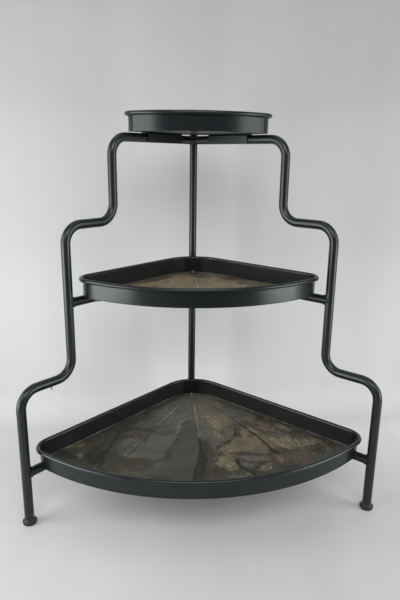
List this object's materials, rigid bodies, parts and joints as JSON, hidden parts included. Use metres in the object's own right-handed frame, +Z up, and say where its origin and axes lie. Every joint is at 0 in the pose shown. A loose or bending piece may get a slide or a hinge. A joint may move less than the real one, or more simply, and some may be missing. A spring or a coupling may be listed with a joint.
{
  "type": "corner plant stand",
  "caption": "Stepped steel corner plant stand: quarter-round rimmed trays on bent tube side frames and a straight rear post.",
  "frame": {"origin": "on the floor, under the centre of the stand's bounding box", "axes": "+Z up, +X to the right as seen from the front, +Y to the rear, towards the corner with the post; the stand is a mirror image of itself across the YZ plane"},
  "size_m": [0.6944, 0.4631, 0.768],
  "materials": {
    "black_paint": "satin black paint, lightly worn",
    "aged_floor_paint": "matt dark paint under brown and grey water stains",
    "bright_zinc": "dull bright zinc",
    "rim_wire": "plain steel wire",
    "rubber": "matt black"
  },
  "bodies": {
    "root": {"rear_post": "black_paint", "post_cap": "rubber", "left_side_frame": "black_paint", "right_side_frame": "black_paint", "lower_left_strut": "black_paint", "lower_right_strut": "black_paint", "middle_left_strut": "black_paint", "middle_right_strut": "black_paint", "lower_gusset": "black_paint", "middle_gusset": "black_paint", "left_top_bracket": "black_paint", "right_top_bracket": "black_paint", "lower_tray_wall": "black_paint", "lower_tray_floor": "aged_floor_paint", "lower_rim_wire": "rim_wire", "middle_tray_wall": "black_paint", "middle_tray_floor": "aged_floor_paint", "middle_rim_wire": "rim_wire", "top_tray_wall": "black_paint", "top_tray_floor": "aged_floor_paint", "top_rim_wire": "rim_wire", "left_foot": "rubber", "right_foot": "rubber", "rear_foot": "rubber", "corner_screws": "bright_zinc", "lower_strut_screws": "black_paint", "middle_strut_screws": "black_paint", "top_bracket_screws": "black_paint"}
  },
  "joints": []
}
